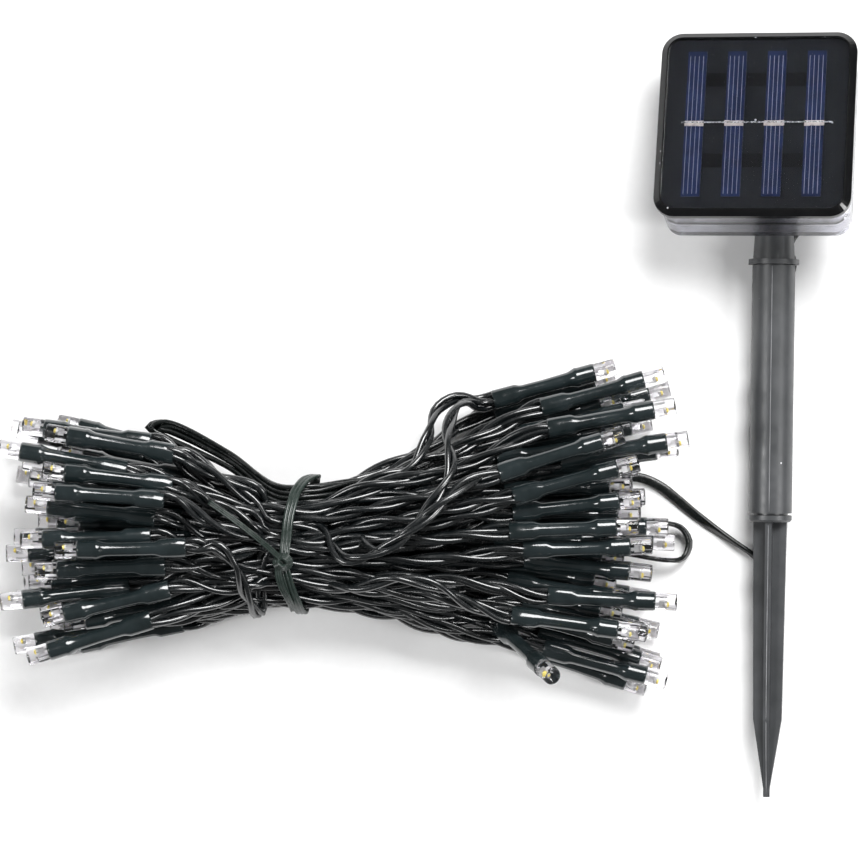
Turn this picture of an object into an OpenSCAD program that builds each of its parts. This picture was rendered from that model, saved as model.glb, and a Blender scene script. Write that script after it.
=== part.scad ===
// Solar string lights laid flat: a solar charging head on a ground stake, a lead,
// and a long string of LEDs folded into a tied hank.
// +Z is up, +Y runs along the stake towards the solar head.
// The origin is on the stake's axis, at the shoulder of the ground spike.

/* [Solar head] */
// Width and length of the square solar head
head_w = 55; // [50:1:60]
// Depth of the solar head from the face to the back
head_d = 20; // [18:0.5:24]
// Corner radius of the solar head
head_r = 6; // [4:0.5:8]
// Thickness of the black tray that holds the cells
tray_t = 3; // [2.6:0.1:4]
// Step from the tray's edge in to the clear case
case_inset = 1.2; // [0.8:0.1:2]
// Wall thickness of the clear case
case_wall = 1.8; // [1.4:0.1:2.2]
// Backwards lean of the face at rest
head_tilt = 17; // [10:1:25]
// Sideways shift of the head's centre from the stake's axis
head_shift = -3; // [-4:0.5:0]

/* [Solar cells] */
// Number of cell strips
cell_count = 4; // [2:1:4]
// Width of a cell strip
cell_w = 5.3; // [4:0.1:6]
// Length of a cell strip
cell_l = 43.5; // [36:0.5:46]
// Distance from one cell strip to the next
cell_pitch = 11.2; // [9:0.1:12]

/* [Stake] */
// Outer diameter of the stake tube
tube_d = 12.2; // [11:0.1:13]
// Wall thickness of the stake tube
tube_wall = 1.2; // [1:0.1:1.6]
// Length of the stake tube
tube_l = 70.6; // [50:0.2:100]
// Roll of the stake about its own length
stake_roll = 12; // [0:1:15]
// Length of the ground spike below its shoulder
spike_l = 79; // [60:1:100]
// Width across the spike's blades at the shoulder
blade_w = 9.5; // [7:0.1:10]
// Thickness of a spike blade
blade_t = 1.8; // [1.4:0.1:2.4]

/* [String of lights] */
// Number of lights at each end of the hank
end_lights = 50; // [20:5:50]
// Length of a shrink sleeve
sleeve_l = 30; // [26:1:32]
// Radius of a shrink sleeve at its wire end
sleeve_r = 2.8; // [2.4:0.1:2.9]
// Radius of a light's lens
lens_r = 2.5; // [2.3:0.1:2.6]
// How far the lights are staggered along the hank
stagger = 17; // [0:1:20]
// Half width of the hank at its waist
waist_half_w = 18.5; // [17:0.5:20]
// Half height of the hank at its waist
waist_half_h = 12.8; // [11:0.2:14]

/* [Hidden] */
$fn = 48;

// Radial clearance of a running fit, and the gap between loose neighbours
fit = 0.06;
gap = 0.3;
// A small overlap that joins shapes of one solid, and how far a cut runs past a face
lap = 0.1;
past = 1;

// Stake, along +Y from the spike's shoulder
tube_r = tube_d / 2;
tube_start = 1.9;
tube_end = tube_start + tube_l;
plug_r = tube_r - tube_wall - fit;
spike_plug_l = 7.8;
neck_plug_l = 12;
collar_h = 1.3;
collar_edge = 0.6;
ring_r = 7.2;
ring_start = tube_end + 0.2;
ring_h = 1.5;
neck_start = ring_start + ring_h;
neck_l = 9.4;
neck_r = [5.95, 5.4];
hinge_y = 89.5;
floor_z = -ring_r;

// The blades narrow towards a break, and from there run to the tip
blade_narrow = 0.85;
blade_break = 0.72;
tip_half = 0.5;

// Hinge between the neck and the head, in the head's own frame
pin_r = 1.5;
pin_bore_r = pin_r + fit;
tongue_t = 3.8;
tongue_w = 8;
eye_r = 4.4;
lug_in = tongue_t / 2 + gap;
lug_t = 3;
lug_out = lug_in + lug_t;

// Heights in the head, measured out from the hinge pin towards the face
back_w = 10;
face_w = back_w + head_d;
tray_w = face_w - tray_t;
seam_w = 18.4;
gasket_t = 0.8;
gasket_in = 0.2;
shell_w = seam_w + gasket_t;
floor_t = 1.6;
deck_t = 1.2;
pocket_d = 1.3;
pocket_w = face_w - pocket_d;
cell_t = 0.25;
tab_t = 0.15;
glaze_t = 0.6;
rim_w = 1.7;
bevel = 1.4;
plate_t = 0.01;
pocket_gap = 0.6;
glaze_gap = 0.8;

// Solder tabs of the cells and the wire that joins them
tab_l = 1.5;
tab_wire_t = 0.15;
tab_wire_w = 0.35;
tab_wire_in = 3.5;
tab_wire_over = 8.5;

// Places in the head, sideways and lengthwise from the hinge pin
head_v = head_w / 2 - 14;
case_w = head_w - 2 * case_inset;
case_r = head_r - case_inset;
cell_shift = -0.4;
boss_at = 20.5;
boss_r = 2.6;
boss_gap = 0.5;
button_u = 8;
button_v = 27;
button_r = 3;
button_rise = 1;
button_lip = 0.8;
battery_v = 9;
battery_r = 5.25;
battery_l = 44.5;
battery_w = back_w + floor_t + gap + battery_r;
cradle_top = battery_w - 0.45 * battery_r;
board_w = 17;
board_t = 1.2;
wire_v = 21.5;
wire_slot = [12, 4];
grommet_u = 12;
grommet_nose_w = 4;

// Case screws, their bores and the pilot holes in the front shell
screw_r = 1;
screw_l = 12;
screw_head_r = 2.05;
screw_head_t = 1.4;
screw_bore_r = 1.25;
pilot_r = 1.05;
pilot_l = 6;
head_bore_r = 2.15;
head_bore_l = 2.6;

// Cable grommet, and its places in the back of the case
grommet_hole_r = 2.3;
grommet_waist_r = 2.25;
grommet_flange_r = 3.3;
grommet_bore_r = 0.85;

// Battery cradle, cap, contact plate and spring
cradle_u = 13;
cradle_t = 1.4;
cradle_l = 12;
cap_r = 1.9;
cap_l = 1;
contact_t = 0.5;
contact_w = 7;
spring_r = 2.6;
spring_wire_r = 0.48;
spring_plate_r = 3.2;
spring_plate_t = 0.4;

// Board parts
board_size = [34, 15];
chip_size = [5, 4, 1.6];
coil_r = 3;
switch_size = [6, 6, 3.2];
panel_wire_r = 0.5;

// Hinge screw and nut
screw_end = 2.8;
nut_r = 3.1;
nut_t = 2.3;

// Lead: a small twin cable that lies flat
lead_r = 0.8;
lead_z = floor_z + lead_r;
lead_sides = 8;
lead_steps = 2;
lead_route = [
    [11.2, 90.3, 5.1], [11.6, 89.2, 2.2], [11.3, 87.8, -1.4], [10.0, 86.2, -4.6],
    [7.9, 83.8, -6.2], [5.6, 80.8, lead_z], [4.6, 77.4, lead_z], [5.9, 73.6, lead_z],
    [5.0, 69.5, lead_z], [4.3, 64.0, lead_z], [4.2, 50.0, lead_z], [4.2, 38.0, lead_z],
    [4.2, 26.0, lead_z], [4.2, 14.0, lead_z], [4.1, 5.0, lead_z], [3.9, 0.0, lead_z],
    [3.5, -4.7, lead_z], [1.9, -8.7, lead_z],
    [-2.1, -10.3, lead_z], [-5.5, -9.3, lead_z], [-12.0, -5.2, lead_z], [-20.3, 0.6, lead_z],
    [-26.0, 5.2, lead_z], [-31.0, 9.0, lead_z], [-37.0, 11.4, lead_z], [-46.0, 11.2, lead_z],
    [-58.0, 9.6, lead_z], [-70.0, 8.0, -5.8], [-80.8, 6.8, -5.2]
];

// Hank: the waist, and the planes where the lights begin at each end
waist_half = [waist_half_w, waist_half_h];
waist_run = 6;
waist_x = -135.3;
waist_y = -8.4;
waist_z = 13.2;
left_x = -164;
left_y = -7.6;
left_half = [24, 20];
left_reach = 105;
left_rows = 5;
right_x = -80;
right_y = -2.2;
right_half = [30, 16];
right_reach = 100;
right_rows = 4;
// Channel that the lead takes under the lights at the right end
channel_y = 6.7;
channel_w = 5;
channel_lift = 0.6;
slice = 0.4;
tie_w = 2.9;
tie_t = 0.9;
tie_gap = 0.4;
// Folds of the lead beside the left end: both ends of the bundle
fold_near = [-148, 13.3];
fold_far = [-176, 23.7];
fold_near_r = 2;
fold_far_r = 2.5;
fold_h = 8;

// One light: sleeve from the wires to the lens, then the lens
light_pitch = 5.9;
rest_z = floor_z + sleeve_r + 0.1;
sleeve_mid_r = 2.0;
sleeve_lens_r = 2.6;
wire_end_l = 8;
lens_seat = 2;
lens_l = 8;
cavity_r = 1.7;
frame_t = 0.5;
group_count = 5;
group_size = ceil(2 * end_lights / group_count);

// A repeatable number from 0 to 1 for light i and use k
function chance(i, k) = let (v = sin(i * 127.1 + k * 311.7) * 43758.5453) v - floor(v);

// Slots of a close-packed heap of lights, as [sideways, height above the lowest row]
function heap(half, rows) = [
    for (row = [0 : rows - 1], col = [-8 : 8])
        let (
            side = (col + (row % 2) / 2) * light_pitch,
            up = row * light_pitch * sqrt(3) / 2,
            level = (rest_z + up - floor_z) / (2 * half.y)
        )
        if (abs(side) <= half.x * sqrt(1 - level * level)) [side, up]
];

// A light is [start point, direction]; its ray fans out from the hank
function fanned(slot, i, x, y, reach, way) =
    let (
        along = stagger * chance(i, 1),
        grow = 1 + along / reach,
        run = [way, slot.x / reach, slot.y / reach]
    )
    [[x + way * along, y + slot.x * grow, rest_z + slot.y * grow], run / norm(run)];

// The lowest row leaves the channel open, and the rows above it lie a little higher
function spread(slot) =
    slot.y > 0
        ? [slot.x, slot.y + channel_lift]
        : [slot.x + (slot.x > channel_y - right_y ? 1 : -1) * channel_w / 2, slot.y];

// Lights that lie loose on top of a heap: [start point, turn from +X, rise]
left_loose = [
    [[-175, 19.5, 23.5], 173, 0], [[-168, 16.5, 29.5], 171, 0], [[-181, 12, 28.5], 171, 2],
    [[-168, 8, 33], 174, 3], [[-173, -1, 29], 175, 1], [[-170, 4, 37], 177, 2],
    [[-174, -6.5, 30.5], -178, 1], [[-170, -14.5, 29], -177, 1], [[-169, -21, 26.5], -166, 3],
    [[-174, -29.5, 24.5], -162, 0], [[-164, -9, 35], -178, 3]
];
right_loose = [
    [[-79.5, 33, 1], 16, 2], [[-66, 31, 9], 16, 2], [[-64.5, 25, 23.5], 11, 2],
    [[-61, 16.5, 24.5], 10, 2], [[-78, 12.5, 29.5], 18, 3], [[-74, 1.5, 22], 7, 2],
    [[-74, 6, 28], 16, 2], [[-71, -9, 22.5], 3, 2], [[-75, -3.5, 25], 3, 2],
    [[-64, -21.5, 23.5], -2, 1], [[-74, -27, 23], -7, 2], [[-64.5, -37, 8.5], -14, 1],
    [[-76.7, -31.1, 11.3], -40, 60]
];
function lying(light) =
    [light[0], [cos(light[1]) * cos(light[2]), sin(light[1]) * cos(light[2]), sin(light[2])]];

left_heap = heap(left_half, left_rows);
right_heap = heap(right_half, right_rows);
left_heaped = end_lights - len(left_loose);
right_heaped = end_lights - len(right_loose);
lights = concat(
    [for (i = [0 : left_heaped - 1]) fanned(left_heap[i], i, left_x, left_y, left_reach, -1)],
    [for (light = left_loose) lying(light)],
    [for (i = [0 : right_heaped - 1])
        fanned(spread(right_heap[i]), i + end_lights, right_x, right_y, right_reach, 1)],
    [for (light = right_loose) lying(light)]
);

// Points on a smooth curve through a route
function curve_point(p, i, t) =
    let (
        a = p[max(i - 1, 0)],
        b = p[i],
        c = p[i + 1],
        d = p[min(i + 2, len(p) - 1)]
    )
    0.5 * (2 * b + (c - a) * t + (2 * a - 5 * b + 4 * c - d) * t * t + (3 * b - a - 3 * c + d) * t * t * t);
function smooth(p, steps) = concat(
    [for (i = [0 : len(p) - 2], s = [0 : steps - 1]) curve_point(p, i, s / steps)],
    [p[len(p) - 1]]
);
function unit(v) = v / norm(v);
function heading(p, i) = unit(p[min(i + 1, len(p) - 1)] - p[max(i - 1, 0)]);
function ring(p, i, r, sides) =
    let (
        ahead = heading(p, i),
        across = unit(cross(ahead, [0, 0, 1])),
        over = cross(across, ahead)
    )
    [for (k = [0 : sides - 1]) p[i] + r * (cos(360 * k / sides) * across + sin(360 * k / sides) * over)];

module swept_tube(route, r, sides) {
    rings = len(route);
    points = [for (i = [0 : rings - 1]) each ring(route, i, r, sides)];
    walls = [
        for (i = [0 : rings - 2], k = [0 : sides - 1])
            let (n = (k + 1) % sides)
            [i * sides + k, i * sides + n, (i + 1) * sides + n, (i + 1) * sides + k]
    ];
    first = [for (k = [sides - 1 : -1 : 0]) k];
    last = [for (k = [0 : sides - 1]) (rings - 1) * sides + k];
    polyhedron(points = points, faces = concat([first], walls, [last]), convexity = 6);
}

// The head's frame: the hinge pin is at 0, the face looks along +Z
module in_head() {
    translate([0, hinge_y, 0])
        rotate([0, -stake_roll, 0])
            rotate([-head_tilt, 0, 0])
                children();
}

module at_centre(w) {
    translate([head_shift, head_v, w])
        children();
}

// Square with round corners, from plain shapes
module round_square(size, r) {
    side = size - 2 * r;
    square([side, size], center = true);
    square([size, side], center = true);
    for (x = [-1, 1], y = [-1, 1])
        translate([x * side / 2, y * side / 2])
            circle(r = r);
}

module round_plate(size, r, t) {
    linear_extrude(height = t)
        round_square(size, r);
}

module at_bosses() {
    for (x = [-1, 1], y = [-1, 1])
        translate([x * boss_at, y * boss_at, 0])
            children();
}

// Parts that lie along the stake are turned so that their length is +Y
module along_stake(y) {
    translate([0, y, 0])
        rotate([0, -stake_roll, 0])
            rotate([-90, 0, 0])
                children();
}

module panel_tray() {
    color("#1c1d20") in_head() at_centre(0) difference() {
        union() {
            translate([0, 0, tray_w])
                round_plate(head_w, head_r, tray_t - bevel);
            translate([0, 0, face_w - bevel]) hull() {
                round_plate(head_w, head_r, plate_t, $fn = 32);
                translate([0, 0, bevel - plate_t])
                    round_plate(head_w - 2 * rim_w, head_r - rim_w, plate_t, $fn = 32);
            }
        }
        translate([0, 0, pocket_w])
            round_plate(head_w - 2 * rim_w - pocket_gap, head_r - rim_w, pocket_d + past);
    }
}

module panel_glaze() {
    color("#30323a", 0.5) in_head() at_centre(face_w - glaze_t - lap)
        round_plate(head_w - 2 * rim_w - glaze_gap, head_r - rim_w, glaze_t);
}

function cell_u(i) = head_shift + cell_shift + (i - (cell_count - 1) / 2) * cell_pitch;

module solar_cell(i) {
    color("#2b3350") in_head()
        translate([cell_u(i) - cell_w / 2, head_v - cell_l / 2, pocket_w])
            cube([cell_w, cell_l, cell_t]);
}

module cell_tabs() {
    color("#cfc8c8") in_head()
        for (i = [0 : cell_count - 1])
            translate([cell_u(i) - cell_w / 2, head_v - tab_l / 2, pocket_w + cell_t])
                cube([cell_w, tab_l, tab_t]);
}

module tab_wire() {
    wire_l = (cell_count - 1) * cell_pitch + tab_wire_over;
    color("#d8d8d8") in_head()
        translate([cell_u(0) - tab_wire_in, head_v + lap, pocket_w + cell_t + tab_t])
            cube([wire_l, tab_wire_w, tab_wire_t]);
}

module front_shell() {
    color("#b8b8c0", 0.6) in_head() at_centre(0) difference() {
        union() {
            difference() {
                translate([0, 0, shell_w])
                    round_plate(case_w, case_r, tray_w - shell_w);
                translate([0, 0, shell_w - past])
                    round_plate(case_w - 2 * case_wall, case_r - case_wall, tray_w - shell_w - deck_t + past);
            }
            translate([0, 0, shell_w + boss_gap]) at_bosses()
                cylinder(r = boss_r, h = tray_w - shell_w - deck_t - boss_gap + lap);
        }
        translate([0, 0, shell_w]) at_bosses()
            cylinder(r = pilot_r, h = pilot_l);
        translate([-3 - wire_slot.x / 2, wire_v - head_v - wire_slot.y / 2, tray_w - deck_t - past])
            cube([wire_slot.x, wire_slot.y, deck_t + 2 * past]);
    }
}

module case_gasket() {
    color("#3b3b40") in_head() at_centre(seam_w) difference() {
        round_plate(case_w - 2 * gasket_in, case_r - gasket_in, gasket_t);
        translate([0, 0, -past])
            round_plate(case_w - 2 * case_wall, case_r - case_wall, gasket_t + 2 * past);
    }
}

module hinge_lug(side) {
    start = side > 0 ? lug_in : -lug_out;
    translate([start, 0, 0]) rotate([0, 90, 0])
        cylinder(r = eye_r, h = lug_t);
    translate([start, -eye_r, 0])
        cube([lug_t, 2 * eye_r, back_w + lap]);
}

module case_bosses() {
    at_bosses()
        cylinder(r = boss_r, h = seam_w - back_w + boss_gap);
}

module battery_cradle() {
    for (side = [-1, 1])
        translate([side * cradle_u - cradle_t / 2, battery_v - head_v - cradle_l / 2, 0])
            cube([cradle_t, cradle_l, cradle_top - back_w]);
}

module rear_case() {
    color("#b8b8c0", 0.6) in_head() difference() {
        union() {
            at_centre(back_w) difference() {
                round_plate(case_w, case_r, seam_w - back_w);
                translate([0, 0, floor_t])
                    round_plate(case_w - 2 * case_wall, case_r - case_wall, seam_w);
            }
            at_centre(back_w) case_bosses();
            at_centre(back_w) battery_cradle();
            hinge_lug(-1);
            hinge_lug(1);
        }
        translate([-head_w / 2, 0, 0]) rotate([0, 90, 0])
            cylinder(r = pin_bore_r, h = head_w);
        translate([head_shift - battery_l / 2 - 2, battery_v, battery_w]) rotate([0, 90, 0])
            cylinder(r = battery_r + 0.1, h = battery_l + 4);
        at_centre(back_w - past) at_bosses() {
            cylinder(r = screw_bore_r, h = screw_l);
            cylinder(r = head_bore_r, h = head_bore_l);
        }
        for (side = [-1, 1])
            translate([head_shift + side * button_u, button_v, back_w - past])
                cylinder(r = button_r + fit, h = floor_t + 2 * past);
        translate([grommet_u, 0, back_w - past])
            cylinder(r = grommet_hole_r, h = floor_t + 2 * past);
    }
}

module case_screws() {
    color("#9a9a9a") in_head() at_centre(0) at_bosses() {
        translate([0, 0, back_w + lap])
            cylinder(r = screw_head_r, h = screw_head_t);
        translate([0, 0, back_w + screw_head_t])
            cylinder(r = screw_r, h = screw_l);
    }
}

module circuit_board() {
    color("#2f5d3a") in_head() translate([head_shift - board_size.x / 2, button_v - 8, board_w])
        cube([board_size.x, board_size.y, board_t]);
}

module control_chip() {
    color("#222222") in_head() translate([head_shift - 12, button_v - 3, board_w + board_t])
        cube(chip_size);
}

module choke_coil() {
    color("#6b4a2a") in_head() translate([head_shift + 10, button_v, board_w + board_t])
        cylinder(r = coil_r, h = coil_r);
}

module push_switch(side) {
    at = [head_shift + side * button_u, button_v];
    translate([at.x - switch_size.x / 2, at.y - switch_size.y / 2, board_w - switch_size.z])
        cube(switch_size);
}

module power_switch() {
    color("#303030") in_head() push_switch(-1);
}

module mode_switch() {
    color("#303030") in_head() push_switch(1);
}

module button_cap(side) {
    translate([head_shift + side * button_u, button_v, back_w]) {
        translate([0, 0, -button_rise])
            cylinder(r = button_r, h = floor_t + button_rise + lap);
        translate([0, 0, floor_t + lap])
            cylinder(r = button_r + button_lip, h = button_lip);
    }
}

module power_button() {
    color("#a83232") in_head() button_cap(-1);
}

module mode_button() {
    color("#3c3c40") in_head() button_cap(1);
}

module battery_cell() {
    start = head_shift - battery_l / 2;
    color("#3f7a4c") in_head() translate([start, battery_v, battery_w]) rotate([0, 90, 0]) {
        cylinder(r = battery_r, h = battery_l - cap_l);
        translate([0, 0, battery_l - cap_l - lap])
            cylinder(r = cap_r, h = cap_l + lap);
    }
}

module battery_contact() {
    half = contact_w / 2;
    color("#c8c8c8") in_head()
        translate([head_shift + battery_l / 2, battery_v - half, battery_w - half])
            cube([contact_t, contact_w, contact_w]);
}

module battery_spring() {
    start = head_shift - battery_l / 2 - 2.1;
    color("#c8c8c8") in_head() translate([start, battery_v, battery_w]) rotate([0, 90, 0]) {
        cylinder(r = spring_plate_r, h = spring_plate_t);
        for (turn = [0 : 1])
            translate([0, 0, 0.75 + turn * 0.85])
                rotate_extrude()
                    translate([spring_r - turn * 0.4, 0])
                        circle(r = spring_wire_r);
    }
}

module panel_wires() {
    color("#b02a2a") in_head()
        for (side = [0, 1])
            translate([head_shift - 5 + 4 * side, wire_v, board_w + board_t])
                cylinder(r = panel_wire_r, h = tray_w - board_w - board_t);
}

module cable_grommet() {
    color("#5a5b5f") in_head() translate([grommet_u, 0, 0]) difference() {
        rotate_extrude()
            polygon([
                [0, grommet_nose_w], [1.9, grommet_nose_w], [2.6, back_w - 1.6],
                [grommet_flange_r, back_w - 1.4], [grommet_flange_r, back_w],
                [grommet_waist_r, back_w], [grommet_waist_r, back_w + floor_t],
                [3, back_w + floor_t + 0.1], [3, back_w + floor_t + 1], [0, back_w + floor_t + 1]
            ]);
        translate([0, 0, grommet_nose_w - past])
            cylinder(r = grommet_bore_r, h = head_d);
    }
}

module hinge_screw() {
    color("#b5b5b8") in_head() {
        translate([-lug_out - screw_end, 0, 0]) rotate([0, 90, 0])
            cylinder(r = pin_r, h = 2 * lug_out + screw_end + lap);
        translate([lug_out, 0, 0]) rotate([0, 90, 0])
            cylinder(r1 = 2.9, r2 = 2.2, h = 1.8);
    }
}

module hinge_nut() {
    color("#b5b5b8") in_head() translate([-lug_out - nut_t, 0, 0]) rotate([0, 90, 0]) difference() {
        cylinder(r = nut_r, h = nut_t, $fn = 6);
        translate([0, 0, -past])
            cylinder(r = pin_bore_r, h = nut_t + 2 * past);
    }
}

module stake_neck() {
    neck_end = neck_start + neck_l;
    color("#5a5b5f") difference() {
        union() {
            along_stake(ring_start - neck_plug_l)
                cylinder(r = plug_r, h = neck_plug_l + lap);
            along_stake(ring_start)
                cylinder(r = ring_r, h = ring_h);
            along_stake(neck_start - lap)
                cylinder(r1 = neck_r[0], r2 = neck_r[1], h = neck_l + lap);
            rotate([0, -stake_roll, 0]) {
                translate([-tongue_t / 2, neck_end - 1, -tongue_w / 2])
                    cube([tongue_t, hinge_y - neck_end + 1, tongue_w]);
                translate([-tongue_t / 2, hinge_y, 0]) rotate([0, 90, 0])
                    cylinder(r = eye_r - gap, h = tongue_t);
            }
        }
        rotate([0, -stake_roll, 0]) translate([-10, hinge_y, 0]) rotate([0, 90, 0])
            cylinder(r = pin_bore_r, h = 20);
    }
}

module stake_tube() {
    color("#5a5b5f") along_stake(tube_start) difference() {
        cylinder(r = tube_r, h = tube_l);
        translate([0, 0, -past])
            cylinder(r = plug_r + fit, h = tube_l + 2 * past);
    }
}

// Half a blade of the spike, as seen from the side
module blade() {
    half = blade_w / 2;
    translate([-blade_t / 2, 0, 0]) rotate([90, 0, 90])
        linear_extrude(height = blade_t)
            polygon([
                [-half, 0.2], [half, 0.2], [half * blade_narrow, blade_break * spike_l],
                [tip_half, spike_l], [-tip_half, spike_l], [-half * blade_narrow, blade_break * spike_l]
            ]);
}

module ground_spike() {
    color("#5a5b5f") {
        along_stake(-lap)
            cylinder(r = plug_r, h = spike_plug_l + lap);
        along_stake(0)
            cylinder(r = tube_r, h = collar_h);
        along_stake(-collar_edge)
            cylinder(r1 = tube_r - collar_edge, r2 = tube_r, h = collar_edge);
        along_stake(0) mirror([0, 0, 1]) {
            blade();
            rotate([0, 0, 90])
                blade();
        }
    }
}

module lead_cable() {
    color("#202224")
        swept_tube(smooth(lead_route, lead_steps), lead_r, lead_sides);
}

// Folds of the lead, which lie beside the left end of the hank
module lead_hank() {
    color("#202224") hull() {
        translate([fold_near.x, fold_near.y, 0])
            cylinder(r = fold_near_r, h = fold_h, $fn = 16);
        translate([fold_far.x, fold_far.y, 0])
            cylinder(r = fold_far_r, h = fold_h, $fn = 16);
    }
}

module oval(half) {
    polygon([for (k = [0 : 31]) [half.y * cos(k * 11.25), half.x * sin(k * 11.25)]]);
}

module oval_slice(x, y, z, half, t) {
    translate([x, y, z]) rotate([0, 90, 0])
        linear_extrude(height = t)
            oval(half);
}

module string_hank() {
    color("#1b2423") {
        oval_slice(waist_x - waist_run, waist_y, waist_z, waist_half, 2 * waist_run);
        hull() {
            oval_slice(left_x + 1, left_y, floor_z + left_half.y, left_half, slice);
            oval_slice(waist_x - waist_run, waist_y, waist_z, waist_half, slice);
        }
        hull() {
            oval_slice(waist_x + waist_run - slice, waist_y, waist_z, waist_half, slice);
            oval_slice(right_x - 1 - slice, right_y, floor_z + right_half.y, right_half, slice);
        }
    }
}

module hank_tie() {
    inner = waist_half + [tie_gap, tie_gap];
    outer = inner + [tie_t, tie_t];
    color("#4a4f4a") difference() {
        oval_slice(waist_x - tie_w / 2, waist_y, waist_z, outer, tie_w);
        oval_slice(waist_x - tie_w, waist_y, waist_z, inner, 2 * tie_w);
    }
}

// Places its children along every light of a group
module at_lights(group) {
    for (i = [group * group_size : min((group + 1) * group_size, len(lights)) - 1]) {
        run = lights[i][1];
        translate(lights[i][0]) rotate([0, acos(run.z), atan2(run.y, run.x)])
            children();
    }
}

module led_sleeves(group) {
    color("#22302f") at_lights(group) rotate_extrude($fn = 16)
        polygon([
            [0, 0], [sleeve_r, 0], [sleeve_r, wire_end_l], [sleeve_mid_r, wire_end_l + 2],
            [sleeve_mid_r, sleeve_l - 8], [sleeve_lens_r, sleeve_l - 4], [sleeve_lens_r, sleeve_l],
            [lens_r + 0.02, sleeve_l], [lens_r + 0.02, sleeve_l - lens_seat], [0, sleeve_l - lens_seat]
        ]);
}

module led_lenses(group) {
    color("#e6e6dc", 0.6) at_lights(group) translate([0, 0, sleeve_l - lens_seat])
        rotate_extrude($fn = 16)
            polygon([
                [0, 4.6], [cavity_r, 4.6], [cavity_r, 0], [lens_r, 0], [lens_r, lens_l],
                [lens_r - 0.4, lens_l], [0.7, lens_l - 1.6], [0, lens_l - 1.6]
            ]);
}

module led_frames(group) {
    color("#c9c9c9") at_lights(group) translate([-1.3, -frame_t / 2, sleeve_l - lens_seat + 0.1])
        cube([2.6, frame_t, 4]);
}

panel_tray();
panel_glaze();
solar_cell(0);  // solar_cell_1
solar_cell(1);  // solar_cell_2
solar_cell(2);  // solar_cell_3
solar_cell(3);  // solar_cell_4
cell_tabs();
tab_wire();
front_shell();
case_gasket();
rear_case();
case_screws();
circuit_board();
control_chip();
choke_coil();
power_switch();
mode_switch();
power_button();
mode_button();
battery_cell();
battery_contact();
battery_spring();
panel_wires();
cable_grommet();
hinge_screw();
hinge_nut();
stake_neck();
stake_tube();
ground_spike();
lead_cable();
lead_hank();
string_hank();
hank_tie();
led_sleeves(0);  // led_sleeves_1
led_sleeves(1);  // led_sleeves_2
led_sleeves(2);  // led_sleeves_3
led_sleeves(3);  // led_sleeves_4
led_sleeves(4);  // led_sleeves_5
led_lenses(0);  // led_lenses_1
led_lenses(1);  // led_lenses_2
led_lenses(2);  // led_lenses_3
led_lenses(3);  // led_lenses_4
led_lenses(4);  // led_lenses_5
led_frames(0);  // led_frames_1
led_frames(1);  // led_frames_2
led_frames(2);  // led_frames_3
led_frames(3);  // led_frames_4
led_frames(4);  // led_frames_5
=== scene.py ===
import math

import bpy
import numpy as np
from mathutils import Matrix, Vector


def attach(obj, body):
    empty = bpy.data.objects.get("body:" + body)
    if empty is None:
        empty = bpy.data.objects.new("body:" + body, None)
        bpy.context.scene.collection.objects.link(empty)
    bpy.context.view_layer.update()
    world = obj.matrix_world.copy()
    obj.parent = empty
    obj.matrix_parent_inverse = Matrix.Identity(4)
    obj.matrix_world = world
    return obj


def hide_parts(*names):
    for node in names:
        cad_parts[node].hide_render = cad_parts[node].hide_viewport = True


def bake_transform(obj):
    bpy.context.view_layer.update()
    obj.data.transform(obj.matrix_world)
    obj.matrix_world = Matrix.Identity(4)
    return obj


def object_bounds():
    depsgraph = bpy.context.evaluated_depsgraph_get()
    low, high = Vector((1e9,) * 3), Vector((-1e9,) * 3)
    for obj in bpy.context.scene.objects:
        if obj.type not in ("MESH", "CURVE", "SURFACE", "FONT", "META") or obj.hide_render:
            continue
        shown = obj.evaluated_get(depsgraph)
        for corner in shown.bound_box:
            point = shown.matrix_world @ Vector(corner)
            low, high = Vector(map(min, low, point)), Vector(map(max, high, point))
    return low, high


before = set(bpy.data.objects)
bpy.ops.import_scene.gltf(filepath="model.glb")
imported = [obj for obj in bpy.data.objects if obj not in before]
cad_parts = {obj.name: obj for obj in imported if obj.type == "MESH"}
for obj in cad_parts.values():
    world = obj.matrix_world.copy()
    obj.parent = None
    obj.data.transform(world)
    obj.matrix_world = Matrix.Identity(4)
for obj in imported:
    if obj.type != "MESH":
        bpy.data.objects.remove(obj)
cad_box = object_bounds()

MM = 0.001
UP = np.array([0.0, 0.0, 1.0])
GROUPS = 5

# ---------------------------------------------------------------- sizes, as the CAD part has them, in mm
FLOOR_Z = -7.2
HINGE_Y = 89.5
STAKE_ROLL = 12
HEAD_TILT = 17
HEAD_SHIFT = -3
HEAD_W = 55
HEAD_V = HEAD_W / 2 - 14
FACE_W = 30
POCKET_W = FACE_W - 1.3
RIM = 2.2
CELL_W, CELL_L, CELL_PITCH, CELL_SHIFT, CELL_T = 5.3, 43.5, 11.2, -0.4, 0.25
GROMMET_U, GROMMET_NOSE_W = 12, 4
TUBE_R, TUBE_START, TUBE_END = 6.1, 1.9, 72.5
SPIKE_L, BLADE_HALF = 79, 4.75

END_LIGHTS = 50
LIGHT_PITCH = 5.9
SLEEVE_L, SLEEVE_R = 30, 2.8
STAGGER = 17
REST_Z = FLOOR_Z + SLEEVE_R + 0.1
WAIST = np.array([-135.3, -8.4, 13.2])
WAIST_HALF = (18.5, 12.8)
# Each end of the hank: where its lights start, its half width and half height, and how far off the lights'
# lines meet
LEFT = {"x": -164, "y": -7.6, "half": (24, 20), "reach": 105, "rows": 5, "way": -1}
RIGHT = {"x": -80, "y": -2.2, "half": (30, 16), "reach": 100, "rows": 4, "way": 1}
CHANNEL_Y, CHANNEL_W, CHANNEL_LIFT = 6.7, 5, 0.6
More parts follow.
